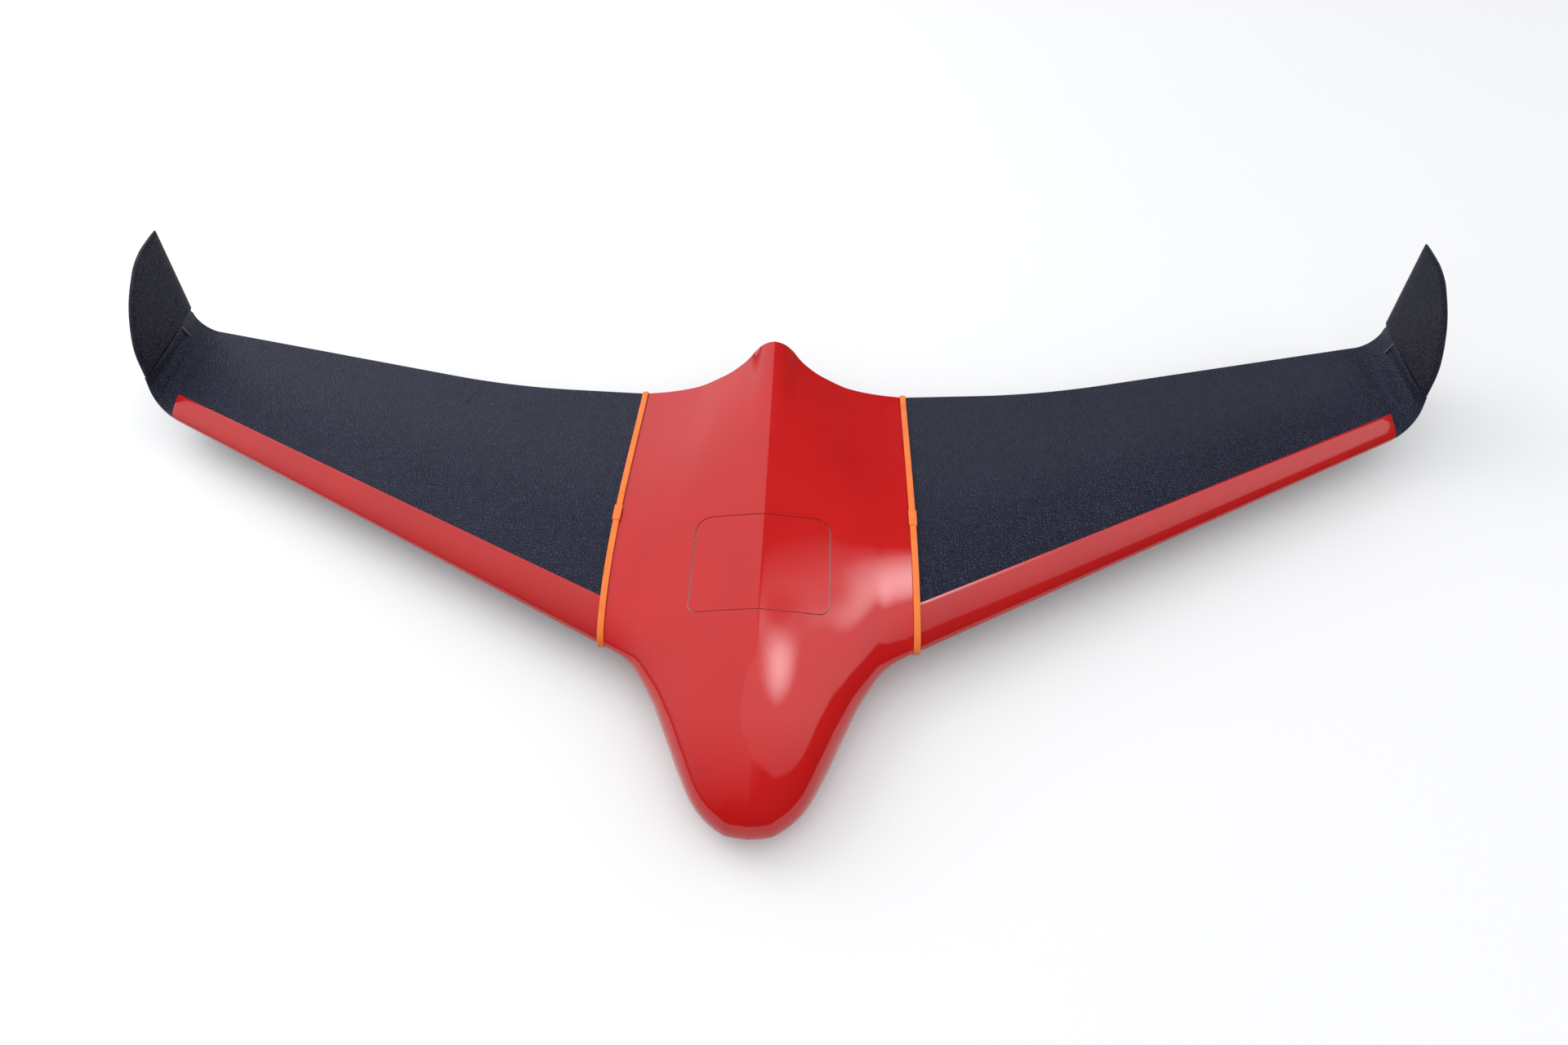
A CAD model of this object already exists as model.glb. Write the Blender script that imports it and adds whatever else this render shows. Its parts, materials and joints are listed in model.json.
import json
import math

import bmesh
import bpy
import numpy as np
from mathutils import Matrix, Vector


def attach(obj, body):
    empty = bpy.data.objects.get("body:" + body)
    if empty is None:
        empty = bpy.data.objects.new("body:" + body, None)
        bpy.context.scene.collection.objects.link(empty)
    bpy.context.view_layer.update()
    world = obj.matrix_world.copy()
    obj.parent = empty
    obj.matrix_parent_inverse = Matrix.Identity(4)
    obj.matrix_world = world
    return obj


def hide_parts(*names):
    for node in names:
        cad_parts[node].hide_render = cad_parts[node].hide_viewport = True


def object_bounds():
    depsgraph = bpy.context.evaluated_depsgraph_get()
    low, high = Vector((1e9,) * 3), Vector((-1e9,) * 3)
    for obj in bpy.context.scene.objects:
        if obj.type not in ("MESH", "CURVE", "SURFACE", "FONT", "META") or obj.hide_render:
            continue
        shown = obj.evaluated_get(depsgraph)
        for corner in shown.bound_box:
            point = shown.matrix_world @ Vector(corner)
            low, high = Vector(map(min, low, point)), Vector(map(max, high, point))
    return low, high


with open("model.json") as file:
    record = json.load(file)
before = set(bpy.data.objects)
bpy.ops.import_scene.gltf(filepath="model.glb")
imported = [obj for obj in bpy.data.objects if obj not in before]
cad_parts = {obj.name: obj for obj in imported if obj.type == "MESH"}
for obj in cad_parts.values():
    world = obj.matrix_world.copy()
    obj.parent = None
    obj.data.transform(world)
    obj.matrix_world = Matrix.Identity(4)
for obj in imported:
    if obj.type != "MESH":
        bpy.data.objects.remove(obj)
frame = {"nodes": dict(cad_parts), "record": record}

CAD_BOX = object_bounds()

# Shapes are worked out in millimetres as stations: x, aft of the root leading edge, up from the
# chord plane. place() turns stations into points of the frame, in metres.
MM = 0.001
ROOT_LE_Y = -225.25
BELLY_DEPTH = 66.0

# Wing
JOINT_X = 211.0
ROOT_CHORD = 488.0
SWEEP = 0.5425
TRAILING_RISE = 2.0
EDGE_THICKNESS = 2.0
ROOT_THICKNESS = 0.12
TIP_THICKNESS = 0.11
CAMBER = 0.175
REFLEX_AT = 0.85
TAPER_TURN = (330.0, 540.0)
TRAILING_SLOPE = (0.055, 0.236)
PANEL_FROM_X = 214.0
PANEL_END_X = 978.0
SEAM_X = 1018.0
SEAM_UP = 47.0
SEAM_CHORD = (459.0, 636.0)
SEAM_THICKNESS = 13.0
TIP_LEAN = math.radians(71.3)
BEND_SHARE = 0.85
GROOVES = ((0.50, 0.24), (0.84, 0.26))
GROOVE_WIDTH = 0.09
SEAM_DEPTH = 0.2
SEAM_ROUND = 0.03
CORNER_NOTCH = 2.5
NOTCH_FROM = 0.93
NOTCH_FADE = 0.07
GROOVE_FADES = (0.12, 0.6)
TIP_STRAIGHT = 2

# Centre body
WALL = 2.0
HATCH_TOP = 58.0
CROWN_DROP = 20.0
CROWN_HALF_WIDTH = 150.0
RIDGE_SLOPE = 0.13
RIDGE_ROUND = 2.0
RIDGE_FADE = (-70.0, 70.0)
NOSE_UP = -28.0
NOSE_FULLNESS = 2.6
NOSE_UP_SHARE = 0.95
TOP_LEVEL = (50.0, 190.0)
BELLY_LEVEL = (-110.0, 270.0)
BELLY_SWEEP = 150
BELLY_HALF_WIDTH = 57.0
BELLY_RISE = 46.0
BELLY_RISE_WIDTH = 130.0
RIM_RADIUS = 33.0
RIM_UP = 34.0
RIM_AFT = 548.0
RIM_SHARE = 0.3
RIM_EASE = 0.5
RIM_CREST = 0.1
RIM_SWEEP = 3.0
TAIL_LEAD = 0.2
TAIL_CROWD = 2.2
TAIL_FALL = 2.6
SPACE_SHORT = 0.08
SPACE_FADE = 6
NOSE_FADE = 0.03
SHELL_GAP = 0.1
ROOT_BLEND = (0.35, 0.65)
THINNEST = 0.4
NOSE_OUTLINE = [
    (0, -252.5), (25, -249.5), (45, -239), (62, -224), (74, -208), (91, -176), (111, -131),
    (133, -83), (153, -49), (166, -31), (184, -15.5), (197, -7.6), (211, 0),
]
TAIL_OUTLINE = [
    (33, 545), (38, 539), (51, 525), (80, 506.5), (128, 495.5), (185, 490.5), (211, 488),
]
TAIL_TOP = [(33, 46.4), (38, 43), (51, 38), (80, 28.5), (128, 11.6), (185, 3.6), (211, 3)]
TAIL_THIN_WIDTH = 15.0

# Hatch
HATCH_HALF_WIDTH = 95.0
HATCH_SPAN = (22.0, 187.0)
HATCH_CORNERS = (15.0, 15.0, 25.0, 25.0)
HATCH_GAP = 1.5
HATCH_BEVEL = 0.25
HATCH_WALL = 1.6

# Elevon
HINGE_FROM = (500.0, 450.2)
HINGE_TO = (974.0, 580.8)
HINGE_GAP = 0.3
NOTCH_SLOPE = math.tan(math.radians(29))
END_GAP = 0.8
LINK_STATION = 226.0
LINK_LENGTH = 105.0
CUT_REACH = 40.0
CUT_AFT = (160, 170)
BAY_AFT = (-18, 28)
BAY_FLOOR = (-17.6, -18.9)
BAY_SPAN = (-18, 25)
POCKET_AFT = (-15, 25)
POCKET_FLOOR = -2.5
POCKET_SPAN = (-15.5, 22)
OPEN_BELOW = -60

# Leading edge cover, bands
COVER_AFT_ROOT = 55.0
COVER_AFT_TIP = 39.0
COVER_UNDER = 0.6
COVER_END_X = 986.0
COVER_PROUD = 1.0
COVER_RECESS = 0.3
COVER_ROUND = 1.2
COVER_RIM = 0.25
BAND_WIDTH = 9.0
BAND_THICKNESS = 2.2
BAND_LIFT = 1.25
BAND_ROUND = 0.9
SLEEVE_SPAN = (182, 212)
SLEEVE_WIDER = 2.4
SLEEVE_THICKNESS = 1.4
SLEEVE_ROUND = 0.6
SLEEVE_GAP = 0.02
SLEEVE_END = 1.5

# Winglet: its leading outline as (aft, rise along its lean)
FIN_OUTLINE = [(459, 0), (481, 34), (527, 72), (584, 101), (645, 118), (703, 120)]
FIN_TRAILING = (636.0, 703.0)
FIN_HEIGHT = 120.0
FIN_THICKNESS = 12.0
FIN_FOOT = 0.42
SEAM_WIDTH = 3.2
FIN_GAP = 0.3
FIN_TOP_GAP = 0.6
FIN_SIDE_GAP = 0.2
FIN_NOTCH_HEIGHT = 3.0
FIN_FRONT_ROUND = 9.0
FIN_REAR_TAPER = 30.0
FIN_TOP_ROUND = 9.0
FIN_THIN_SHARE = 0.3

SHARP = math.radians(38)

# Studio light: the dome at its horizon and overhead and its share below the horizon, then what
# gloss mirrors: the rest of the dome, the bright side, the top light and a lamp in it
DOME_LIGHT = (0.62, 1.10)
DOME_BELOW = 0.2
DOME_MIRRORED = 0.04
SIDE_MIRRORED = 1.05
TOP_MIRRORED = 1.4
TOP_WAY = (0.35, 0.15, 0.92)
TOP_EDGE = (0.855, 0.885)
LAMP_MIRRORED = 7.0
LAMP_WAY = (0.17, 0.40, 0.90)
LAMP_EDGE = (0.975, 1.0)
LAMP_FADE = 1.5

# Softboxes as place, size and power, the floor, and the camera's angles and place
LEFT_PANEL = ((-2.4, 1.4, 2.2), (2.4, 2.4), 34)
FRONT_PANEL = ((0.3, -2.2, 2.8), (3.0, 1.6), 8)
FLOOR_HALF = 6.0
FLOOR_GAP = 0.0002
FLOOR_TONES = ((0.92, 0.92, 0.92), (0.94, 0.94, 0.94))
CAMERA_ANGLES = (-2.93, 50.0, 1.10)
CAMERA_AT = (0.0755, -0.95935, 1.2033)
CAMERA_LENS = 23.14
CAMERA_SENSOR = 36.0


# ---- formulas for the shapes ----

def mix(a, b, share):
    return a + (b - a) * share


def smooth(share):
    share = np.clip(share, 0.0, 1.0)
    return share ** 3 * (10 - 15 * share + 6 * share * share)


def rounding(share):
    """The height of a quarter circle, from 0 at its edge to 1."""
    return np.sqrt(1 - (1 - np.clip(share, 0.0, 1.0)) ** 2)


def through(points, x):
    """A curve through points with no overshoot between them."""
    xs, ys = np.array(points, float).T
    steps = np.diff(ys) / np.diff(xs)
    product = steps[:-1] * steps[1:]
    total = steps[:-1] + steps[1:]
    inner = np.where(product > 0, 2 * product / np.where(total == 0, 1, total), 0.0)
    slopes = np.concatenate([steps[:1], inner, steps[-1:]])
    i = np.clip(np.searchsorted(xs, x, side="left") - 1, 0, len(xs) - 2)
    width = xs[i + 1] - xs[i]
    t = (x - xs[i]) / width
    rise = ys[i] * (1 - t) ** 2 * (1 + 2 * t) + ys[i + 1] * t * t * (3 - 2 * t)
    return rise + width * (slopes[i] * t * (1 - t) ** 2 - slopes[i + 1] * t * t * (1 - t))


def place(x, aft, up):
    """Stations in millimetres as points of the frame in metres, in the last axis."""
    x, aft, up = np.broadcast_arrays(x, aft, up)
    return np.stack([x, aft + ROOT_LE_Y, up + BELLY_DEPTH], axis=-1) * MM


def leading(x):
    return SWEEP * (x - JOINT_X)


def trailing(x):
    start, end = TAPER_TURN
    inner, outer = TRAILING_SLOPE
    aft = ROOT_CHORD + inner * (np.minimum(x, start) - JOINT_X)
    turn = np.clip(x - start, 0.0, end - start)
    aft = aft + inner * turn + (outer - inner) * turn * turn / (2 * (end - start))
    return aft + outer * np.maximum(x - end, 0.0)


def profile(t, side, thickness):
    """Height over the chord line, as a share of chord, of a reflexed aerofoil."""
    half = 5 * thickness * (
        0.2969 * np.sqrt(t) - 0.1260 * t - 0.3516 * t ** 2 + 0.2843 * t ** 3 - 0.1036 * t ** 4
    )
    return CAMBER * t * (1 - t) * (REFLEX_AT - t) + side * half


def wing_height(x, t, side):
    chord = trailing(x) - leading(x)
    share = (x - JOINT_X) / (PANEL_END_X - JOINT_X)
    height = chord * profile(t, side, mix(ROOT_THICKNESS, TIP_THICKNESS, share))
    return height + TRAILING_RISE * t + side * t * EDGE_THICKNESS / 2


def wing_station(x, t, side, proud=0.0):
    """A station on the wing's skin, or one that stands proud of it."""
    chord = trailing(x) - leading(x)
    t_safe = np.maximum(t, 1e-4)
    step = 1e-3
    ahead = np.maximum(t_safe - step, 0.0)
    run = (t_safe + step - ahead) * chord
    rise = wing_height(x, t_safe + step, side) - wing_height(x, ahead, side)
    size = np.hypot(run, rise)
    back = np.where(t > 0, -side * rise / size, -1.0)
    lift = np.where(t > 0, side * run / size, 0.0)
    aft = leading(x) + t * chord + proud * back
    return x, aft, wing_height(x, t, side) + proud * lift


def fractions(count, last=1.0):
    """Chord fractions from the leading edge, close together where it is round."""
    share = np.linspace(0.0, 1.0, count + 1)
    return last * share ** 2 * (1.6 - 0.6 * share)


def around(count):
    """One loop round a section: (t, side) from the upper trailing edge to the lower one."""
    t = fractions(count)
    return np.concatenate([t[::-1], t[1:]]), np.concatenate([np.ones(count + 1), -np.ones(count)])


def tip_station(share, t, side):
    """The upturned tip: its section turns to lie across it, with two shallow grooves."""
    lean = TIP_LEAN * np.minimum(share / BEND_SHARE, 1.0)
    radius = (SEAM_X - PANEL_END_X - TIP_STRAIGHT) / math.sin(TIP_LEAN)
    straight = np.maximum(share - BEND_SHARE, 0.0) / (1 - BEND_SHARE)
    low = (wing_height(PANEL_END_X, 0.4, 1) + wing_height(PANEL_END_X, 0.4, -1)) / 2
    rise = SEAM_UP - low - radius * (1 - math.cos(TIP_LEAN))
    x = PANEL_END_X + radius * np.sin(lean) + TIP_STRAIGHT * straight
    up = low + radius * (1 - np.cos(lean)) + rise * straight
    root_thickness = wing_height(PANEL_END_X, 0.3, 1) - wing_height(PANEL_END_X, 0.3, -1)
    squeeze = mix(1.0, SEAM_THICKNESS / root_thickness, share)
    groove = sum(depth * np.exp(-((share - at) / GROOVE_WIDTH) ** 2) for at, depth in GROOVES)
    groove = groove + SEAM_DEPTH * smooth((share - 1 + SEAM_ROUND) / SEAM_ROUND)
    front = mix(leading(PANEL_END_X), SEAM_CHORD[0], share)
    rear = mix(trailing(PANEL_END_X), SEAM_CHORD[1], share)
    rear = rear - CORNER_NOTCH * smooth((share - NOTCH_FROM) / NOTCH_FADE)
    upper, lower = wing_height(PANEL_END_X, t, 1), wing_height(PANEL_END_X, t, -1)
    ahead, behind = GROOVE_FADES
    half = (upper - lower) / 2 * (1 - groove * smooth(t / ahead) * smooth((1 - t) / behind))
    height = ((upper + lower) / 2 - low + side * half) * squeeze
    return x - height * np.sin(lean), mix(front, rear, t), up + height * np.cos(lean)


# ---- centre body ----

def nose_slope(x):
    ahead = through(NOSE_OUTLINE, np.minimum(x + 1, JOINT_X))
    return (ahead - through(NOSE_OUTLINE, np.maximum(x - 1, 0))) / 2


def body_front(u, inset):
    x = JOINT_X * u
    aft = through(NOSE_OUTLINE, x) + inset * np.sqrt(1 + nose_slope(x) ** 2)
    return x, aft, NOSE_UP * (1 - smooth(u / NOSE_UP_SHARE))


def body_rear(u, inset):
    """The tail outline: the motor's rim, left along its tangent on top, then the trailing edge."""
    edge = EDGE_THICKNESS / 2
    turn = np.minimum(u / RIM_SHARE, 1.0)
    reach = mix(turn, np.sin(math.pi / 2 * turn), RIM_EASE)
    radius = RIM_RADIUS - inset
    crest = radius * (1 - RIM_CREST * reach)
    low = crest * np.sqrt(1 - reach ** 2)
    top = np.where(reach < math.sqrt(0.5), low, crest * (math.sqrt(2) - reach))
    rim_aft = RIM_AFT - RIM_SWEEP * reach ** 6 + min(inset, 1.0)
    rim = (radius * reach, rim_aft, RIM_UP + (top - low) / 2, np.hypot((top + low) / 2, edge))
    share = np.clip((u - RIM_SHARE) / (1 - RIM_SHARE), 0.0, 1.0)
    x = mix(RIM_RADIUS, JOINT_X, TAIL_LEAD * share + (1 - TAIL_LEAD) * share ** TAIL_CROWD)
    shoulder = RIM_RADIUS * (1 - RIM_CREST) * (math.sqrt(2) - 1) / 2
    half = mix(math.hypot(shoulder, edge), edge, smooth((x - RIM_RADIUS) / TAIL_THIN_WIDTH))
    tail = (x, through(TAIL_OUTLINE, x), through(TAIL_TOP, x) - half, half)
    if inset > 0:
        clear = smooth(SPACE_FADE * share)
        x, aft, top = body_station(u, 1 - SPACE_SHORT * clear, 1)
        low = body_station(u, 1 - SPACE_SHORT * clear, -1)[2]
        half = np.maximum((top - low) / 2 - inset, THINNEST)
        tail = (x - inset * (1 - clear), aft + 1 - clear, (top + low) / 2, half)
    return [np.where(u <= RIM_SHARE, a, b) for a, b in zip(rim, tail)]


def body_station(u, w, side, inset=0.0):
    """A station on the body's skin: u across the half width, w from nose to tail."""
    x_front, aft_front, up_front = body_front(u, inset)
    x_rear, aft_rear, up_rear, half = body_rear(u, inset)
    aft = mix(aft_front, aft_rear, w)
    x = mix(x_front, x_rear, smooth(w))
    end = up_rear + side * half
    if side > 0:
        crown = CROWN_DROP * smooth(x / CROWN_HALF_WIDTH)
        ridge = RIDGE_SLOPE * (np.hypot(x, RIDGE_ROUND) - RIDGE_ROUND)
        behind = smooth((aft - RIDGE_FADE[0]) / (RIDGE_FADE[1] - RIDGE_FADE[0]))
        level = HATCH_TOP - mix(crown, ridge, behind) - inset
        start, stop = TOP_LEVEL
    else:
        rise = BELLY_RISE * smooth((x - BELLY_HALF_WIDTH) / BELLY_RISE_WIDTH)
        level = rise - BELLY_DEPTH + inset
        start, stop = BELLY_LEVEL[0] + BELLY_SWEEP * u * u, BELLY_LEVEL[1]
    entry = np.minimum((aft - aft_front) / (start - aft_front), 1.0)
    up = mix(up_front, level, np.sqrt(1 - (1 - entry) ** NOSE_FULLNESS))
    past = np.maximum((aft - stop) / (aft_rear - stop), 0.0)
    up = mix(up, end, past ** TAIL_FALL if side > 0 else smooth(past))
    rear = body_rear(u, 0) if inset > 0 else (x_rear, aft_rear, up_rear, half)
    aft_start = body_front(u, 0)[1]
    t = np.clip((aft - aft_start) / (rear[1] - aft_start), 0.0, 1.0)
    camber = (profile(t, 1, ROOT_THICKNESS) + profile(t, -1, ROOT_THICKNESS)) / 2
    half_root = ROOT_CHORD * (profile(t, 1, ROOT_THICKNESS) - camber) + t * EDGE_THICKNESS / 2
    if inset > 0:
        half_root = np.maximum(half_root - inset, THINNEST)
        half_root = half_root * np.minimum(w / NOSE_FADE, 1.0) ** 0.5
    root = mix(up_front, rear[2], t) + ROOT_CHORD * camber + side * half_root
    return x, aft, mix(up, root, smooth((u - ROOT_BLEND[0]) / ROOT_BLEND[1]))


def skin(u, w, side, inset=0.0):
    """Points of the body's skin for u from -1 to 1 across the whole width."""
    x, aft, up = body_station(np.abs(u), np.clip(w, 0.0, 1.0), side, inset)
    return place(np.where(u < 0, -x, x), aft, up)


def shares_at(x, aft):
    """The (u, w) of the body's skin at a plan position, found by halving."""
    low, high = np.zeros_like(x), np.ones_like(x)
    for _ in range(36):
        u = (low + high) / 2
        front, rear = body_front(u, 0), body_rear(u, 0)
        w = (aft - front[1]) / (rear[1] - front[1])
        reach = mix(front[0], rear[0], smooth(w))
        low = np.where(reach < np.abs(x), u, low)
        high = np.where(reach < np.abs(x), high, u)
    return np.copysign(u, x), w


# ---- meshes ----

def new_piece(name, points, faces, body, look, nodes=()):
    """A mesh piece with outward faces that rides on a body and stands for CAD nodes."""
    mesh = bpy.data.meshes.new(name)
    mesh.from_pydata([tuple(p) for p in points], [], faces)
    work = bmesh.new()
    work.from_mesh(mesh)
    bmesh.ops.remove_doubles(work, verts=work.verts, dist=1e-6)
    bmesh.ops.dissolve_degenerate(work, edges=work.edges, dist=1e-7)
    bmesh.ops.recalc_face_normals(work, faces=work.faces)
    work.to_mesh(mesh)
    work.free()
    piece = bpy.data.objects.new(name, mesh)
    bpy.context.scene.collection.objects.link(piece)
    return finish_piece(piece, body, look, nodes)


def finish_piece(piece, body, look, nodes=()):
    mesh = piece.data
    mesh.polygons.foreach_set("use_smooth", [True] * len(mesh.polygons))
    mesh.set_sharp_from_angle(angle=SHARP)
    mesh.materials.clear()
    mesh.materials.append(look)
    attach(piece, body)
    if nodes:
        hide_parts(*nodes)
    return piece


def soften(piece):
    """Round a panel's sharp edges a little, so that they catch the light."""
    step = piece.modifiers.new("soft_edges", "BEVEL")
    step.width = HATCH_BEVEL * MM
    step.segments = 2
    step.angle_limit = math.radians(55)
    step.harden_normals = True


def strip_faces(rows, columns, start=0, around_too=False, flip=False):
    """Quads between the rows of a grid of points."""
    faces = []
    width = columns if around_too else columns - 1
    for i in range(rows - 1):
        for j in range(width):
            k = (j + 1) % columns
            quad = [i * columns + j, i * columns + k, (i + 1) * columns + k, (i + 1) * columns + j]
            faces.append([start + n for n in (quad[::-1] if flip else quad)])
    return faces


def slab(outer, inner, around_too=False):
    """A closed solid between two grids of points of the same shape."""
    rows, columns = outer.shape[:2]
    points = np.concatenate([outer.reshape(-1, 3), inner.reshape(-1, 3)])
    size = rows * columns
    faces = strip_faces(rows, columns, 0, around_too)
    faces += strip_faces(rows, columns, size, around_too, flip=True)
    width = columns if around_too else columns - 1
    for i in (0, rows - 1):
        for j in range(width):
            a, b = i * columns + j, i * columns + (j + 1) % columns
            faces.append([a, b, b + size, a + size])
    if not around_too:
        for j in (0, columns - 1):
            for i in range(rows - 1):
                a, b = i * columns + j, (i + 1) * columns + j
                faces.append([a, b, b + size, a + size])
    return points, faces


def tube_loft(rings):
    """A closed solid through rings of points, with a flat cap on each end."""
    rows, columns = rings.shape[:2]
    faces = strip_faces(rows, columns, 0, True)
    faces += [list(range(columns)), list(range((rows - 1) * columns, rows * columns))]
    return rings.reshape(-1, 3), faces


def mirrored(points):
    return points * np.array([-1.0, 1.0, 1.0])


SIDES = (("left", lambda points: points), ("right", mirrored))


# ---- hatch outline ----

def hatch_side(k, shrink, arc_steps, straight_steps):
    """One side of the rounded outline, from the middle of corner k to the middle of the next."""
    def arc(corner, start, end):
        radius = HATCH_CORNERS[corner] - shrink
        sx, sy = ((-1, 0), (1, 0), (1, 1), (-1, 1))[corner]
        cx = sx * (HATCH_HALF_WIDTH - shrink - radius)
        cy = (HATCH_SPAN[1] - shrink - radius) if sy else (HATCH_SPAN[0] + shrink + radius)
        angles = np.radians(np.linspace(start, end, arc_steps + 1))
        return np.stack([cx + radius * np.cos(angles), cy + radius * np.sin(angles)], -1)
    first = arc(k, 225 + 90 * k, 270 + 90 * k)
    last = arc((k + 1) % 4, 270 + 90 * k, 315 + 90 * k)
    share = np.linspace(0, 1, straight_steps + 1)[1:-1, None]
    return np.concatenate([first, mix(first[-1:], last[:1], share), last])


ARC_STEPS = 10
STRAIGHT_STEPS = 76


def make_upper_shell(look):
    """The upper half as rings of quads that run from the hatch opening to the outline."""
    rings = 104
    sides = [hatch_side(k, 0.0, ARC_STEPS, STRAIGHT_STEPS) for k in range(4)]
    hole = np.concatenate([side[:-1] for side in sides])
    hole_u, hole_w = shares_at(hole[:, 0], hole[:, 1])
    count = len(sides[0]) - 1
    share = np.linspace(0, 1, count + 1)[:-1]
    ones = np.ones(count)
    edge_u = np.concatenate([2 * share - 1, ones, 1 - 2 * share, -ones])
    edge_w = np.concatenate([0 * ones, share, ones, 1 - share])
    reach = 1 - (1 - np.linspace(0, 1, rings)[:, None]) ** 2
    u, w = mix(hole_u, edge_u, reach), mix(hole_w, edge_w, reach)
    outer = skin(u, w, 1)
    dropped = outer - np.array([0, 0, WALL * MM])
    inner = mix(dropped, skin(u, w, 1, WALL), smooth(reach)[..., None])
    points, faces = slab(outer, inner, around_too=True)
    shell = new_piece("upper_shell", points, faces, "airframe", look,
                      ["body_upper_shell"])
    soften(shell)


def make_lower_shell(look):
    u = np.linspace(-1, 1, 161)[:, None]
    w = fractions(120)[None, :]
    outer = skin(u, w, -1)
    drop = np.array([0, 0, SHELL_GAP * MM])
    points, faces = slab(outer - drop, skin(u, w, -1, WALL) - drop)
    points[:, 2] = np.maximum(points[:, 2], 0.0)
    new_piece("lower_shell", points, faces, "airframe", look, ["body_lower_shell"])


def make_hatch_lid(look):
    """The lid as a patch spanned between the four sides of its outline."""
    sides = [hatch_side(k, HATCH_GAP, ARC_STEPS, STRAIGHT_STEPS) for k in range(4)]
    bottom, right, top, left = sides[0], sides[1], sides[2][::-1], sides[3][::-1]
    a = np.linspace(0, 1, len(bottom))[:, None, None]
    b = np.linspace(0, 1, len(left))[None, :, None]
    patch = (1 - b) * bottom[:, None] + b * top[:, None] + (1 - a) * left[None] + a * right[None]
    patch -= (1 - a) * (1 - b) * bottom[0] + a * (1 - b) * bottom[-1]
    patch -= (1 - a) * b * top[0] + a * b * top[-1]
    u, w = shares_at(patch[..., 0], patch[..., 1])
    outer = skin(u, w, 1)
    points, faces = slab(outer, outer - np.array([0, 0, HATCH_WALL * MM]))
    soften(new_piece("lid", points, faces, "hatch", look, ["hatch_lid"]))


# ---- wings ----

def wing_rings(count=44):
    """Section rings of the whole foam panel, from the root to the seam under the winglet."""
    t, side = around(count)
    inboard = np.linspace(PANEL_FROM_X, PANEL_END_X, 72)[:, None]
    rows = [place(*wing_station(inboard, t, side))]
    share = np.linspace(0, 1, 61)[1:, None]
    rows.append(place(*tip_station(share, t, side)))
    return np.concatenate(rows)


def hinge_axes():
    """The hinge line: its start, and unit vectors outboard, aft and up from it."""
    ends = []
    for x, aft in (HINGE_FROM, HINGE_TO):
        t = (aft - leading(x)) / (trailing(x) - leading(x))
        ends.append(Vector(place(x, aft, wing_height(x, t, 1))))
    span = (ends[1] - ends[0]).normalized()
    back = Vector((0, 0, 1)).cross(span).normalized()
    return ends[0], (ends[1] - ends[0]).length, span, back, span.cross(back)


def hinge_prism(outline, span_from, span_to):
    """A prism along the hinge line from an outline of (aft, up), in millimetres."""
    start, _, span, back, lift = hinge_axes()
    points = []
    for s in (span_from, span_to):
        points += [start + MM * (span * s + back * aft + lift * up) for aft, up in outline]
    n = len(outline)
    faces = [list(range(n))[::-1], list(range(n, 2 * n))]
    faces += [[i, (i + 1) % n, n + (i + 1) % n, n + i] for i in range(n)]
    return plain_object("cutter", points, faces)


def plain_object(name, points, faces):
    mesh = bpy.data.meshes.new(name)
    mesh.from_pydata([tuple(p) for p in points], [], faces)
    work = bmesh.new()
    work.from_mesh(mesh)
    bmesh.ops.recalc_face_normals(work, faces=work.faces)
    work.to_mesh(mesh)
    work.free()
    made = bpy.data.objects.new(name, mesh)
    bpy.context.scene.collection.objects.link(made)
    return made


def carve(target, cutter, operation):
    """Cut or keep part of a mesh, then drop the cutter."""
    step = target.modifiers.new("carve", "BOOLEAN")
    step.operation = operation
    step.solver = "EXACT"
    step.object = cutter
    result = bpy.data.meshes.new_from_object(
        target.evaluated_get(bpy.context.evaluated_depsgraph_get()))
    target.modifiers.clear()
    target.data = result
    bpy.data.objects.remove(cutter)


def bay_outline(aft, floor):
    """The outline of a hollow round the servo's axle, open below the wing."""
    front, rear = (along - LINK_LENGTH for along in aft)
    return [(front, floor[0]), (rear, floor[1]), (rear, OPEN_BELOW), (front, OPEN_BELOW)]


def make_wings(foam):
    """Foam panels and elevons, cut from one form along the hinge and at the servo bay."""
    reach, gap = CUT_REACH, HINGE_GAP / 2
    slant = reach * NOTCH_SLOPE
    length = hinge_axes()[1] / MM
    kept_to, cleared_to = CUT_AFT
    keep = [(gap, reach), (gap, 0), (gap + slant, -reach), (kept_to, -reach), (kept_to, reach)]
    clear = [(-gap, -reach), (cleared_to, -reach), (cleared_to, reach), (-gap, reach)]
    hollows = [
        (bay_outline(BAY_AFT, BAY_FLOOR), BAY_SPAN),
        (bay_outline(POCKET_AFT, (POCKET_FLOOR, POCKET_FLOOR)), POCKET_SPAN),
    ]
    points, faces = tube_loft(wing_rings())
    for name, _ in SIDES:
        for part, outline, span, operation, body in (
            ("elevon", keep, (0.0, length), "INTERSECT", "elevon_" + name),
            ("wing", clear, (-END_GAP, length + END_GAP), "DIFFERENCE", "airframe"),
        ):
            blank = plain_object(part + "_foam_" + name, points, faces)
            carve(blank, hinge_prism(outline, *span), operation)
            if part == "wing":
                for hollow, (near, far) in hollows:
                    cutter = hinge_prism(hollow, LINK_STATION + near, LINK_STATION + far)
                    carve(blank, cutter, "DIFFERENCE")
            mesh = blank.data
            if name == "right":
                mesh.transform(Matrix.Scale(-1, 4, (1, 0, 0)))
                mesh.flip_normals()
            node = ("elevon_" if part == "elevon" else "wing_core_") + name
            finish_piece(blank, body, foam, [node])


def cover_reach(x):
    share = (x - JOINT_X) / (COVER_END_X - JOINT_X)
    return mix(COVER_AFT_ROOT, COVER_AFT_TIP, share) / (trailing(x) - leading(x))


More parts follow.
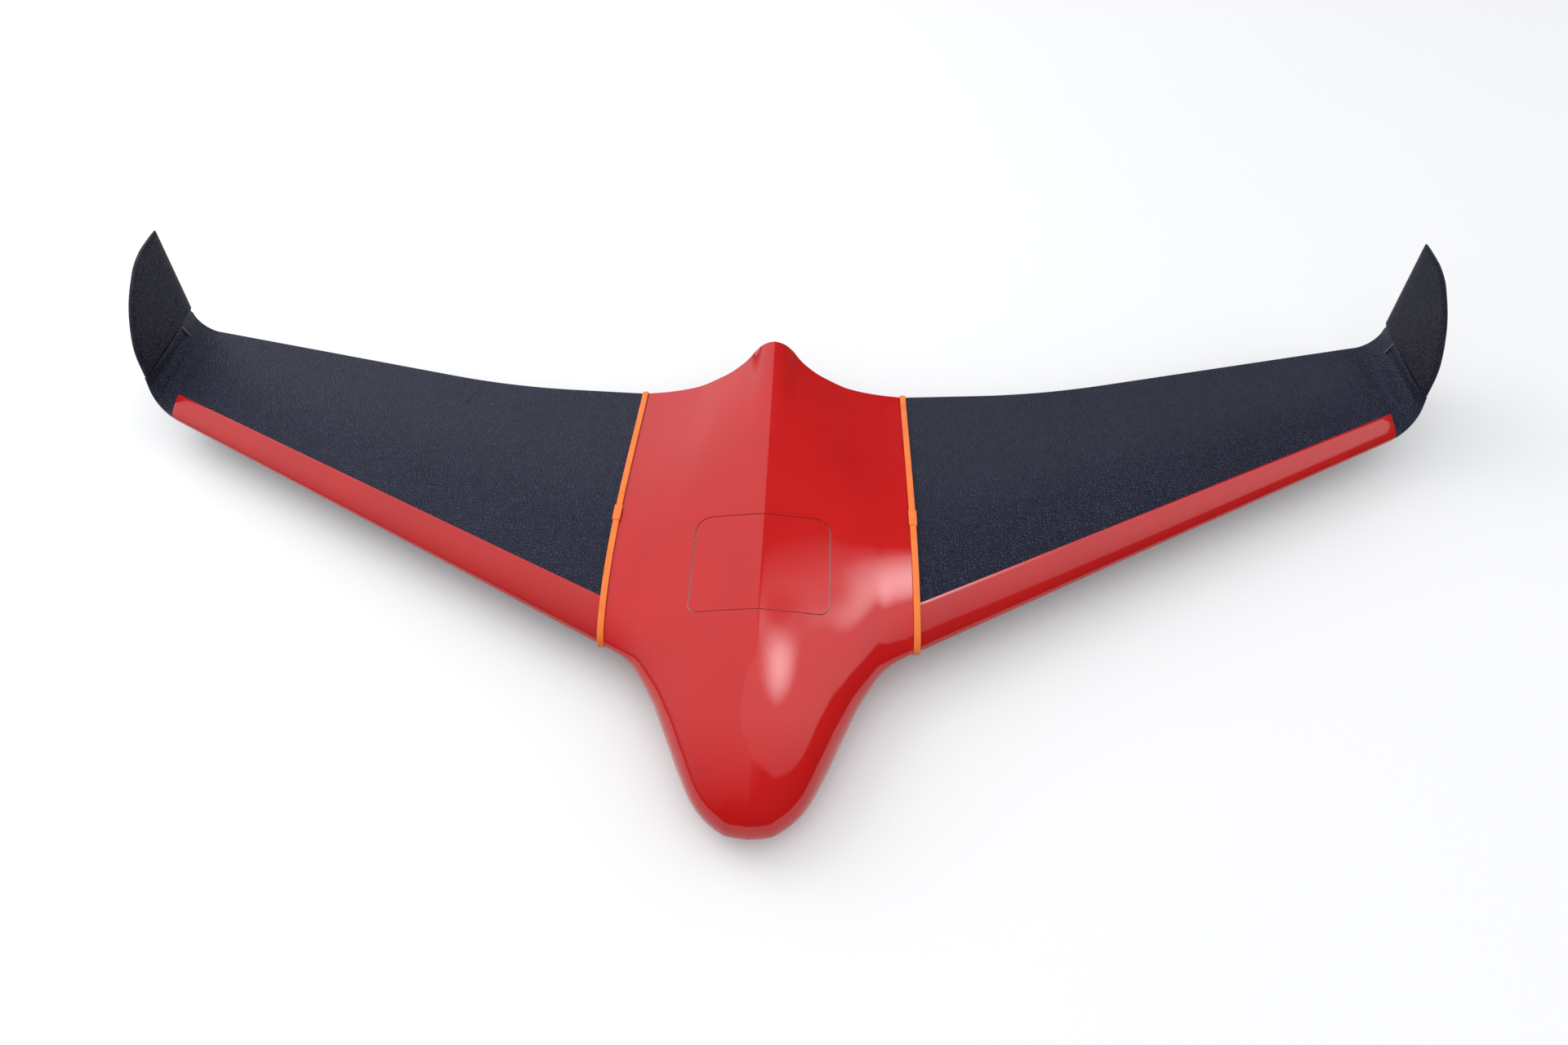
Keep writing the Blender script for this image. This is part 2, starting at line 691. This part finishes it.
def make_leading_edge_covers(look):
    """The red cap over each leading edge, with softly rounded edges."""
    x = np.linspace(PANEL_FROM_X, PANEL_END_X, 90)[:, None]
    half = np.linspace(0, 1, 25) ** 1.5
    upper, lower = cover_reach(x) * half[::-1], cover_reach(x) * COVER_UNDER * half[1:]
    t = np.concatenate([upper, lower], 1)
    side = np.concatenate([np.ones(25), -np.ones(24)])
    chord = trailing(x) - leading(x)
    ends = np.where(side > 0, cover_reach(x), cover_reach(x) * COVER_UNDER)
    from_edge = (ends - t) * chord
    from_end = np.minimum(x - PANEL_FROM_X, PANEL_END_X - x) + 0 * t
    near = np.minimum(from_edge, from_end) / COVER_ROUND
    proud = mix(COVER_RIM, COVER_PROUD, rounding(near))
    outer = place(*wing_station(x + 0 * t, t, side, proud))
    inner = place(*wing_station(x + 0 * t, t, side, -COVER_RECESS))
    points, faces = slab(outer, inner)
    for name, turn in SIDES:
        new_piece("edge_cover_" + name, turn(points), faces, "airframe", look,
                  ["leading_edge_cover_" + name])


def chord_path(x, count, lift):
    """A closed path round the wing at x, off its skin: stations and outward directions."""
    t, side = around(count)
    _, aft, up = wing_station(x, t, side)
    _, aft_out, up_out = wing_station(x, t, side, 1.0)
    out = np.stack([aft_out - aft, up_out - up], -1)
    path = np.stack([aft, up], -1)
    turns = np.radians(np.linspace(-80, 80, 9))[:, None]
    fan = np.concatenate([np.cos(turns), np.sin(turns)], 1)
    corners = np.where(np.sin(turns) < 0, path[-1:], path[:1])
    path = np.concatenate([path, corners])
    out = np.concatenate([out, fan])
    return path + out * lift, out


def loop_solid(path, out, outline, x):
    """A solid band along a closed path, from a cross outline of (across, outward)."""
    rings = []
    for across, outward in outline:
        at = path + out * outward
        rings.append(place(x + across, at[:, 0], at[:, 1]))
    rings = np.stack(rings)
    rows, columns = rings.shape[:2]
    closed = np.concatenate([rings, rings[:1]])
    return closed.reshape(-1, 3), strip_faces(rows + 1, columns, 0, True)


def rounded_outline(width, height, radius, steps=5):
    """A rounded rectangle standing on its base line, as (across, outward)."""
    points = []
    for sx, cy, start in ((1, radius, -90), (1, height - radius, 0), (-1, height - radius, 90),
                          (-1, radius, 180)):
        for i in range(steps + 1):
            angle = math.radians(start + 90 * i / steps)
            points.append((sx * (width / 2 - radius) + radius * math.cos(angle),
                           cy + radius * math.sin(angle)))
    return points


def make_bands(look):
    """The silicone band over each wing joint and the lapped sleeve near its middle."""
    path, out = chord_path(JOINT_X, 70, BAND_LIFT)
    band = loop_solid(path, out, rounded_outline(BAND_WIDTH, BAND_THICKNESS, BAND_ROUND), JOINT_X)
    top = BAND_LIFT + BAND_THICKNESS
    t = np.linspace(*SLEEVE_SPAN, 25) / ROOT_CHORD
    _, aft, up = wing_station(JOINT_X, t, 1)
    _, aft_out, up_out = wing_station(JOINT_X, t, 1, 1.0)
    path = np.stack([aft, up], -1)
    out = np.stack([aft_out - aft, up_out - up], -1)
    swell = rounding(np.minimum(aft - aft[0], aft[-1] - aft) / SLEEVE_END)
    rings = []
    outline = rounded_outline(BAND_WIDTH + SLEEVE_WIDER, SLEEVE_THICKNESS, SLEEVE_ROUND)
    for across, outward in outline:
        at = path + out * (top + SLEEVE_GAP + outward * swell)[:, None]
        rings.append(place(JOINT_X + across * mix(0.9, 1.0, swell), at[:, 0], at[:, 1]))
    sleeve = tube_loft(np.stack(rings, 1))
    for name, turn in SIDES:
        new_piece("wing_band_" + name, turn(band[0]), band[1], "airframe",
                  look, ["band_" + name])
        new_piece("wing_band_sleeve_" + name, turn(sleeve[0]), sleeve[1], "airframe",
                  look, ["band_sleeve_" + name])


def make_winglets(foam):
    """The foam fins: rounded leading edge and top, thinner towards the trailing edge."""
    rises = np.array([p[1] for p in FIN_OUTLINE], float)
    afts = np.array([p[0] for p in FIN_OUTLINE], float)
    table = list(zip(rises, afts))
    level = 0.5 - 0.5 * np.cos(np.linspace(0, math.pi, 70))
    rise = (FIN_HEIGHT - FIN_TOP_GAP) * level[:, None]
    front = through(table, rise)
    rear = mix(*FIN_TRAILING, rise / FIN_HEIGHT)
    rear = rear - CORNER_NOTCH * (1 - smooth(rise / FIN_NOTCH_HEIGHT))
    share, side = around(40)
    share, side = share[None, :], side[None, :]
    chord = rear - front
    ahead, behind = share * chord, (1 - share) * chord
    edge = rounding(ahead / FIN_FRONT_ROUND)
    back = mix(FIN_THIN_SHARE, 1.0, rounding(behind / FIN_REAR_TAPER))
    near_top = rounding((FIN_HEIGHT - rise) / FIN_TOP_ROUND)
    foot = 1 - FIN_FOOT * (1 - smooth(rise / SEAM_WIDTH))
    half = (FIN_THICKNESS / 2 - FIN_SIDE_GAP) * edge * back
    half = half * mix(FIN_THIN_SHARE, 1.0, near_top) * foot
    lean = math.pi / 2 - TIP_LEAN
    x = SEAM_X + rise * math.sin(lean) - side * half * math.cos(lean)
    up = SEAM_UP + FIN_GAP + rise * math.cos(lean) + side * half * math.sin(lean)
    points, faces = tube_loft(place(x, front + share * chord, up))
    for name, turn in SIDES:
        new_piece("fin_" + name, turn(points), faces, "airframe", foam,
                  ["winglet_" + name])


# ---- materials ----

class Nodes:
    """Short forms for adding nodes to a tree."""

    def __init__(self, tree):
        self.tree = tree

    def link(self, source, target):
        self.tree.links.new(source, target)

    def span(self, source, low, high, to_low=0.0, to_high=1.0):
        node = self.tree.nodes.new("ShaderNodeMapRange")
        for name, value in (("From Min", low), ("From Max", high), ("To Min", to_low),
                            ("To Max", to_high)):
            node.inputs[name].default_value = value
        self.link(source, node.inputs["Value"])
        return node.outputs["Result"]

    def math(self, operation, a, b):
        node = self.tree.nodes.new("ShaderNodeMath")
        node.operation = operation
        for socket, value in zip(node.inputs, (a, b)):
            if isinstance(value, float):
                socket.default_value = value
            else:
                self.link(value, socket)
        return node.outputs["Value"]


class Look(Nodes):
    """A material made of nodes, with its texture coordinates in metres on the object."""

    def __init__(self, name, roughness=0.5, metallic=0.0, **sockets):
        self.material = bpy.data.materials.new(name)
        self.material.use_nodes = True
        super().__init__(self.material.node_tree)
        self.shader = self.tree.nodes["Principled BSDF"]
        self.shader.inputs["Roughness"].default_value = roughness
        self.shader.inputs["Metallic"].default_value = metallic
        for socket, value in sockets.items():
            self.shader.inputs[socket.replace("_", " ")].default_value = value
        self.place = self.tree.nodes.new("ShaderNodeTexCoord").outputs["Object"]

    def stretched(self, scale):
        node = self.tree.nodes.new("ShaderNodeMapping")
        node.inputs["Scale"].default_value = scale
        self.link(self.place, node.inputs["Vector"])
        return node.outputs["Vector"]

    def noise(self, size, detail=3.0, vector=None):
        """Noise whose features are about this size, in metres."""
        node = self.tree.nodes.new("ShaderNodeTexNoise")
        node.inputs["Scale"].default_value = 1 / size
        node.inputs["Detail"].default_value = detail
        self.link(vector or self.place, node.inputs["Vector"])
        return node.outputs["Fac"]

    def cells(self, size, feature="F1", output="Distance", vector=None):
        node = self.tree.nodes.new("ShaderNodeTexVoronoi")
        node.feature = feature
        node.inputs["Scale"].default_value = 1 / size
        self.link(vector or self.place, node.inputs["Vector"])
        return node.outputs[output]

    def wave(self, size, direction, vector=None, distortion=0.0):
        node = self.tree.nodes.new("ShaderNodeTexWave")
        node.bands_direction = direction
        node.inputs["Scale"].default_value = 0.31416 / size
        node.inputs["Distortion"].default_value = distortion
        self.link(vector or self.place, node.inputs["Vector"])
        return node.outputs["Fac"]

    def colours(self, source, *stops):
        """A colour ramp through (position, (r, g, b)) stops."""
        node = self.tree.nodes.new("ShaderNodeValToRGB")
        ramp = node.color_ramp.elements
        while len(ramp) < len(stops):
            ramp.new(0.5)
        for element, (position, colour) in zip(ramp, stops):
            element.position = position
            element.color = (*colour, 1.0)
        self.link(source, node.inputs["Fac"])
        return node.outputs["Color"]

    def blend(self, factor, a, b, mode="MIX"):
        node = self.tree.nodes.new("ShaderNodeMix")
        node.data_type = "RGBA"
        node.blend_type = mode
        if isinstance(factor, float):
            node.inputs["Factor"].default_value = factor
        else:
            self.link(factor, node.inputs["Factor"])
        for socket, value in zip((node.inputs[6], node.inputs[7]), (a, b)):
            if isinstance(value, tuple):
                socket.default_value = (*value, 1.0)
            else:
                self.link(value, socket)
        return node.outputs[2]

    def colour(self, source):
        self.link(source, self.shader.inputs["Base Color"])

    def rough(self, source):
        self.link(source, self.shader.inputs["Roughness"])

    def bump(self, height, depth, strength=1.0, coat=False):
        """Bump from a height of 0 to 1 that stands for this depth in metres."""
        node = self.tree.nodes.new("ShaderNodeBump")
        node.inputs["Strength"].default_value = strength
        node.inputs["Distance"].default_value = depth
        self.link(height, node.inputs["Height"])
        self.link(node.outputs["Normal"], self.shader.inputs["Coat Normal" if coat else "Normal"])


def gloss_paint(name, deep, light):
    """Sprayed gloss paint: clear coat with faint orange peel, fine flake and a little dust."""
    look = Look(name, roughness=0.45, Specular_IOR_Level=0.12, Coat_Weight=1.0,
                Coat_Roughness=0.03, Coat_IOR=1.5)
    tone = look.noise(0.12, 4.0)
    flake = look.noise(0.0007, 1.0)
    body = look.colours(look.span(tone, 0.3, 0.7), (0.0, deep), (1.0, light))
    shade = look.span(flake, 0.35, 0.65, 0.94, 1.05)
    look.colour(look.blend(1.0, body, shade, "MULTIPLY"))
    look.rough(look.span(look.noise(0.03), 0.3, 0.7, 0.32, 0.46))
    look.bump(look.noise(0.0045, 2.0), 0.00002, 0.5, coat=True)
    return look.material


BEAD_SIZE = 0.0046
BEAD_WOBBLE = 0.0016
BEAD_BUMP = 0.0011


def bead_foam(name, dark, light, shine=0.6):
    """Moulded bead foam: rounded cells with darker joints, and a bluish sheen."""
    look = Look(name, roughness=0.42, Specular_IOR_Level=shine,
                Specular_Tint=(0.55, 0.66, 1.0, 1.0))
    wobble = look.tree.nodes.new("ShaderNodeTexNoise")
    wobble.inputs["Scale"].default_value = 1 / 0.006
    look.link(look.place, wobble.inputs["Vector"])
    shift = look.tree.nodes.new("ShaderNodeVectorMath")
    shift.operation = "MULTIPLY_ADD"
    shift.inputs[1].default_value = (BEAD_WOBBLE,) * 3
    look.link(wobble.outputs["Color"], shift.inputs[0])
    look.link(look.place, shift.inputs[2])
    vector = shift.outputs["Vector"]
    joint = look.cells(BEAD_SIZE, "DISTANCE_TO_EDGE", vector=vector)
    bead = look.cells(BEAD_SIZE, "F1", "Color", vector=vector)
    pits = look.noise(0.0006, 2.0)
    patch = look.noise(0.16, 3.0)
    body = look.colours(look.span(bead, 0.1, 0.9), (0.0, dark), (1.0, light))
    seam = look.span(joint, 0.0, 0.2, 0.3, 1.0)
    tone = look.span(patch, 0.3, 0.7, 0.88, 1.1)
    speck = look.span(pits, 0.3, 0.7, 0.9, 1.08)
    shade = look.math("MULTIPLY", look.math("MULTIPLY", seam, tone), speck)
    look.colour(look.blend(1.0, body, shade, "MULTIPLY"))
    look.rough(look.span(pits, 0.3, 0.7, 0.36, 0.52))
    dome = look.math("POWER", look.span(joint, 0.0, 0.35), 0.6)
    height = look.math("ADD", dome, look.math("MULTIPLY", pits, 0.35))
    look.bump(height, BEAD_BUMP, 1.0)
    return look.material


def silicone(name, dark, light):
    """Matt silicone rubber with a faint bloom, drawn lengthwise."""
    look = Look(name, roughness=0.45, Subsurface_Weight=0.15, Subsurface_Scale=0.002,
                Sheen_Weight=0.2)
    bloom = look.noise(0.02, 4.0)
    draw = look.noise(0.004, 2.0, look.stretched((4.0, 0.25, 1.0)))
    look.colour(look.colours(look.span(bloom, 0.3, 0.7), (0.0, dark), (1.0, light)))
    look.rough(look.span(bloom, 0.3, 0.7, 0.38, 0.6))
    look.bump(draw, 0.00008, 0.6)
    return look.material


def moulded(name, dark, light, roughness=0.5, grain=0.0009, depth=0.00004, metallic=0.0, **more):
    """Moulded or machined surface: two tones, grain and uneven sheen."""
    look = Look(name, roughness=roughness, metallic=metallic, **more)
    grains = look.noise(grain, 2.0)
    wear = look.noise(0.02, 5.0)
    tone = look.math("ADD", look.math("MULTIPLY", grains, 0.4), look.math("MULTIPLY", wear, 0.6))
    look.colour(look.colours(look.span(tone, 0.35, 0.65), (0.0, dark), (1.0, light)))
    look.rough(look.span(wear, 0.3, 0.7, roughness * 0.8, min(roughness * 1.25, 1.0)))
    look.bump(grains, depth, 0.6)
    return look.material


def brushed(name, dark, light, roughness, axis):
    """Metal brushed or turned along one axis."""
    look = Look(name, roughness=roughness, metallic=1.0)
    scale = [3.0, 3.0, 3.0]
    scale[axis] = 0.15
    lines = look.noise(0.0016, 3.0, look.stretched(scale))
    look.colour(look.colours(look.span(lines, 0.3, 0.7), (0.0, dark), (1.0, light)))
    look.rough(look.span(lines, 0.3, 0.7, roughness * 0.75, roughness * 1.3))
    look.bump(lines, 0.00003, 0.5)
    return look.material


def plywood(name):
    """Birch plywood: long grain, fine pores and darker glue lines across its thickness."""
    look = Look(name, roughness=0.62)
    grain = look.noise(0.005, 5.0, look.stretched((1.0, 0.1, 1.0)))
    pores = look.noise(0.0008, 2.0, look.stretched((1.0, 0.2, 1.0)))
    tone = look.math("ADD", look.math("MULTIPLY", grain, 0.7), look.math("MULTIPLY", pores, 0.3))
    look.colour(look.colours(
        look.span(tone, 0.3, 0.7), (0.0, (0.35, 0.2, 0.09)), (0.5, (0.56, 0.37, 0.19)),
        (1.0, (0.68, 0.5, 0.29))))
    look.bump(tone, 0.0001, 0.5)
    return look.material


def woven(name, dark, light, size, roughness, coat=0.0):
    """Crossing yarns, as in carbon cloth, glass cloth or webbing."""
    look = Look(name, roughness=roughness, Coat_Weight=coat, Coat_Roughness=0.08)
    across, along = look.wave(size, "X"), look.wave(size, "Y")
    weave = look.math("MULTIPLY", across, along)
    both = look.math("SUBTRACT", look.math("MAXIMUM", across, along), weave)
    slub = look.math("MULTIPLY", look.noise(size * 0.6), 0.4)
    look.colour(look.colours(look.math("ADD", both, slub), (0.1, dark), (1.0, light)))
    look.bump(both, size * 0.12, 0.7)
    return look.material


def windings(name):
    """Copper wire wound side by side, with lacquer."""
    look = Look(name, roughness=0.32, metallic=1.0)
    turns = look.wave(0.0006, "Y", distortion=0.4)
    look.colour(look.colours(turns, (0.0, (0.2, 0.06, 0.02)), (1.0, (0.85, 0.36, 0.16))))
    look.bump(turns, 0.00025, 0.9)
    return look.material


def cell_wrap(name):
    """Heat-shrink wrap over battery cells: soft creases and a satin shine."""
    look = Look(name, roughness=0.35, metallic=0.35)
    crease = look.noise(0.02, 6.0, look.stretched((1.0, 0.5, 1.0)))
    look.colour(look.colours(
        look.span(crease, 0.3, 0.7), (0.0, (0.03, 0.06, 0.16)), (1.0, (0.06, 0.12, 0.3))))
    look.rough(look.span(crease, 0.3, 0.7, 0.25, 0.5))
    look.bump(crease, 0.0006, 0.6)
    return look.material


def dress_cad(looks):
    """Give every CAD node that stays visible the procedural material of its slot."""
    slots = {part["node"]: part["material_slot"] for part in frame["record"]["subparts"]}
    for name, item in frame["nodes"].items():
        look = looks[slots[name]]
        if not item.material_slots:
            item.data.materials.append(look)
        for place_for in item.material_slots:
            place_for.material = look


# ---- stage, light and camera ----

def softbox(name, at, size, power):
    """A large soft light aimed at the origin, which gloss doesn't mirror."""
    lamp = bpy.data.lights.new(name, "AREA")
    lamp.shape = "RECTANGLE"
    lamp.size, lamp.size_y = size
    lamp.energy = power
    holder = bpy.data.objects.new(name, lamp)
    holder.location = at
    holder.rotation_euler = (-Vector(at)).to_track_quat("-Z", "Y").to_euler()
    holder.visible_glossy = False
    bpy.context.scene.collection.objects.link(holder)


class Sky(Nodes):
    """The light around the stage, worked out from the direction in which a ray leaves."""

    def __init__(self):
        world = bpy.data.worlds.new("studio")
        world.use_nodes = True
        super().__init__(world.node_tree)
        self.way = self.tree.nodes.new("ShaderNodeTexCoord").outputs["Generated"]
        self.background = self.tree.nodes["Background"]
        self.background.inputs["Color"].default_value = (0.97, 0.98, 1.0, 1.0)
        bpy.context.scene.world = world

    def along(self, direction):
        """How far the ray's direction points along another one, from -1 to 1."""
        node = self.tree.nodes.new("ShaderNodeVectorMath")
        node.operation = "DOT_PRODUCT"
        self.link(self.way, node.inputs[0])
        node.inputs[1].default_value = Vector(direction).normalized()
        return node.outputs["Value"]


def make_sky():
    """A dome that is brighter overhead; gloss mirrors a bright side, a top light and a lamp."""
    sky = Sky()
    lift = sky.along((0, 0, 1))
    dome = sky.span(lift, 0.0, 1.0, *DOME_LIGHT)
    dome = sky.math("MULTIPLY", dome, sky.span(lift, -0.05, 0.05, DOME_BELOW, 1.0))
    bright_side = sky.span(sky.along((1, 0, 0)), -0.05, 0.05, SIDE_MIRRORED, 0.0)
    bright_side = sky.math("MULTIPLY", bright_side, sky.span(lift, 0.02, 0.22))
    overhead = sky.span(sky.along(TOP_WAY), *TOP_EDGE, 0.0, TOP_MIRRORED)
    facing = sky.span(sky.along((0, 1, 0)), -0.75, 0.15)
    lamp = sky.math("POWER", sky.span(sky.along(LAMP_WAY), *LAMP_EDGE), LAMP_FADE)
    lamp = sky.math("MULTIPLY", lamp, LAMP_MIRRORED)
    mirrored_light = sky.math("MULTIPLY", sky.math("MAXIMUM", bright_side, overhead), facing)
    mirrored_light = sky.math("ADD", sky.math("ADD", mirrored_light, lamp), DOME_MIRRORED)
    rays = sky.tree.nodes.new("ShaderNodeLightPath").outputs["Is Glossy Ray"]
    strength = sky.math("ADD", sky.math("MULTIPLY", mirrored_light, rays),
                        sky.math("MULTIPLY", dome, sky.math("SUBTRACT", 1.0, rays)))
    sky.link(strength, sky.background.inputs["Strength"])


def make_stage():
    low = CAD_BOX[0]
    half = FLOOR_HALF
    corners = [(-half, -half), (half, -half), (half, half), (-half, half)]
    floor = plain_object("floor", [(x, y, low.z - FLOOR_GAP) for x, y in corners], [[0, 1, 2, 3]])
    look = Look("pale_floor", roughness=0.85, Specular_IOR_Level=0.2)
    look.colour(look.colours(look.noise(0.8, 2.0), (0.0, FLOOR_TONES[0]), (1.0, FLOOR_TONES[1])))
    floor.data.materials.append(look.material)
    floor.visible_diffuse = False

    make_sky()
    bpy.context.scene.view_settings.view_transform = "Standard"
    softbox("left_panel", *LEFT_PANEL)
    softbox("front_panel", *FRONT_PANEL)


def make_camera():
    """The camera at the height and angle from which the aircraft is seen."""
    yaw, pitch, roll = (math.radians(a) for a in CAMERA_ANGLES)
    ahead = Vector((math.sin(yaw) * math.cos(pitch), math.cos(yaw) * math.cos(pitch),
                    -math.sin(pitch)))
    level = Vector((math.cos(yaw), -math.sin(yaw), 0))
    down = ahead.cross(level)
    right = math.cos(roll) * level + math.sin(roll) * down
    below = math.cos(roll) * down - math.sin(roll) * level
    camera = bpy.data.cameras.new("camera")
    camera.sensor_width = CAMERA_SENSOR
    camera.lens = CAMERA_LENS
    camera.clip_end = 50.0
    holder = bpy.data.objects.new("camera", camera)
    turn = Matrix((right, -below, -ahead)).transposed()
    holder.matrix_world = Matrix.Translation(CAMERA_AT) @ turn.to_4x4()
    bpy.context.scene.collection.objects.link(holder)
    bpy.context.scene.camera = holder


def make_looks():
    return {
        "gloss_red": gloss_paint("gloss_red", (0.53, 0.0030, 0.0035), (0.58, 0.0036, 0.0036)),
        "lead_red": gloss_paint("lead_red", (0.47, 0.0040, 0.0040), (0.52, 0.0055, 0.0050)),
        "navy_foam": bead_foam("navy_foam", (0.0125, 0.0105, 0.022), (0.026, 0.0225, 0.044)),
        "charcoal_foam": bead_foam(
            "charcoal_foam", (0.013, 0.0115, 0.019), (0.026, 0.023, 0.036), 0.3),
        "orange_silicone": silicone("orange_silicone", (0.86, 0.17, 0.014), (0.95, 0.23, 0.025)),
        "plywood": plywood("plywood"),
        "carbon": woven("carbon", (0.008, 0.008, 0.009), (0.06, 0.06, 0.065), 0.002, 0.35, 1.0),
        "glass_tube": woven("glass_tube", (0.35, 0.4, 0.32), (0.6, 0.66, 0.55), 0.0012, 0.4, 0.5),
        "black_plastic": moulded("black_plastic", (0.010, 0.010, 0.011), (0.022, 0.022, 0.024)),
        "grey_plastic": moulded("grey_plastic", (0.10, 0.11, 0.12), (0.17, 0.18, 0.19), 0.45),
        "white_plastic": moulded("white_plastic", (0.62, 0.62, 0.6), (0.74, 0.74, 0.72), 0.4),
        "battery_wrap": cell_wrap("battery_wrap"),
        "strap": woven("strap", (0.01, 0.01, 0.012), (0.05, 0.05, 0.055), 0.0011, 0.8),
        "lead_wire": moulded("lead_wire", (0.35, 0.01, 0.01), (0.5, 0.02, 0.02), 0.4, 0.003),
        "steel": brushed("steel", (0.42, 0.42, 0.43), (0.68, 0.68, 0.69), 0.28, 0),
        "magnet": moulded("magnet", (0.55, 0.54, 0.52), (0.72, 0.71, 0.69), 0.2, metallic=1.0),
        "aluminium": brushed("aluminium", (0.62, 0.63, 0.64), (0.82, 0.83, 0.84), 0.32, 0),
        "copper": windings("copper"),
        "anodised": brushed("anodised", (0.012, 0.012, 0.014), (0.035, 0.035, 0.04), 0.35, 0),
    }


def main():
    looks = make_looks()
    dress_cad(looks)
    make_upper_shell(looks["gloss_red"])
    make_lower_shell(looks["gloss_red"])
    make_hatch_lid(looks["gloss_red"])
    make_wings(looks["navy_foam"])
    make_leading_edge_covers(looks["lead_red"])
    make_bands(looks["orange_silicone"])
    make_winglets(looks["charcoal_foam"])
    make_stage()
    make_camera()


main()
